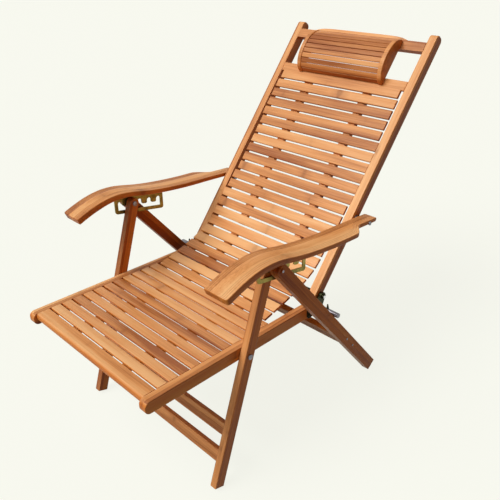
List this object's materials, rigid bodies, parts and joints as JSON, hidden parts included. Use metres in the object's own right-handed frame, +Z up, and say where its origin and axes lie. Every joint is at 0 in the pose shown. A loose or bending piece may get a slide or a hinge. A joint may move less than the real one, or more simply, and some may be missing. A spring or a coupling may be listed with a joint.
{
  "type": "folding recliner",
  "caption": "Folding bamboo recliner with slatted seat and back, lumbar curve, headrest, curved arms on notched racks and crossed legs.",
  "frame": {"origin": "centre of the bounding box at floor level, under the middle of the chair", "axes": "+X to the viewer's right seen from the front, -Y the front (foot end of the seat), +Z up"},
  "size_m": [0.6, 1.0472, 0.8149],
  "materials": {
    "bamboo": "lacquered bamboo, semi-gloss",
    "bamboo_seat": "lacquered bamboo, semi-gloss",
    "bamboo_batten": "lacquered bamboo, darker",
    "rack_metal": "antique brass plating",
    "steel": "zinc-plated"
  },
  "bodies": {
    "seat": {"seat_rail_left": "bamboo", "seat_rail_right": "bamboo", "seat_front_board": "bamboo_seat", "seat_slat_01": "bamboo_seat", "seat_slat_02": "bamboo_seat", "seat_slat_03": "bamboo_seat", "seat_slat_04": "bamboo_seat", "seat_slat_05": "bamboo_seat", "seat_slat_06": "bamboo_seat", "seat_slat_07": "bamboo_seat", "seat_slat_08": "bamboo_seat", "seat_slat_09": "bamboo_seat", "seat_slat_10": "bamboo_seat", "seat_slat_11": "bamboo_seat", "seat_slat_12": "bamboo_seat", "seat_slat_13": "bamboo_seat", "seat_slat_14": "bamboo_seat", "seat_slat_15": "bamboo_seat", "seat_slat_16": "bamboo_seat", "seat_slat_17": "bamboo_seat", "seat_slat_18": "bamboo_seat", "seat_batten_left": "bamboo_batten", "seat_batten_right": "bamboo_batten", "rear_support": "steel"},
    "hinge_shaft": {"hinge_shaft": "steel"},
    "back": {"back_stile_left": "bamboo", "back_stile_right": "bamboo", "crest_rail": "bamboo", "top_board": "bamboo", "back_slat_01": "bamboo", "back_slat_02": "bamboo", "back_slat_03": "bamboo", "back_slat_04": "bamboo", "back_slat_05": "bamboo", "back_slat_06": "bamboo", "back_slat_07": "bamboo", "back_slat_08": "bamboo", "back_slat_09": "bamboo", "back_slat_10": "bamboo", "back_slat_11": "bamboo", "back_slat_12": "bamboo", "back_slat_13": "bamboo", "back_slat_14": "bamboo", "back_slat_15": "bamboo", "back_batten_left": "bamboo_batten", "back_batten_right": "bamboo_batten", "headrest": "bamboo"},
    "arm_bolts": {"arm_bolt_left": "steel", "arm_bolt_right": "steel"},
    "arms": {"armrest_left": "bamboo", "armrest_right": "bamboo", "arm_rack_left": "rack_metal", "arm_rack_right": "rack_metal"},
    "front_legs": {"front_leg_left": "bamboo", "front_leg_right": "bamboo", "front_stretcher_upper": "bamboo", "front_stretcher_lower": "bamboo"},
    "rear_legs": {"rear_leg_left": "bamboo", "rear_leg_right": "bamboo", "rear_stretcher": "bamboo"}
  },
  "joints": [
    {"name": "fold", "type": "hinge", "parent": "seat", "child": "hinge_shaft", "pos_m": [0, 0.01382, 0.30564], "axis": [1, 0, 0], "range_deg": [0, 76]},
    {"name": "recline", "type": "hinge", "parent": "hinge_shaft", "child": "back", "pos_m": [0, 0.01382, 0.30564], "axis": [1, 0, 0], "range_deg": [-10.5, 28]},
    {"name": "arm_bolt_turn", "type": "hinge", "parent": "back", "child": "arm_bolts", "pos_m": [0, 0.16259, 0.45353], "axis": [1, 0, 0], "range_deg": [-86, 0]},
    {"name": "arm_turn", "type": "hinge", "parent": "arm_bolts", "child": "arms", "pos_m": [0, 0.16259, 0.45353], "axis": [1, 0, 0], "range_deg": [-21, 8]},
    {"name": "front_leg_swing", "type": "hinge", "parent": "seat", "child": "front_legs", "pos_m": [0, -0.25959, 0.31087], "axis": [1, 0, 0], "range_deg": [0, 74.6]},
    {"name": "rear_leg_swing", "type": "hinge", "parent": "front_legs", "child": "rear_legs", "pos_m": [0, -0.16962, 0.50289], "axis": [1, 0, 0], "range_deg": [-48.7, 0]}
  ],
  "couplings": [
    {"joint": "arm_bolt_turn", "follows": "fold", "ratio": -1.13},
    {"joint": "arm_turn", "follows": "recline", "ratio": -0.745},
    {"joint": "front_leg_swing", "follows": "fold", "ratio": 0.98},
    {"joint": "rear_leg_swing", "follows": "fold", "ratio": -0.64}
  ]
}
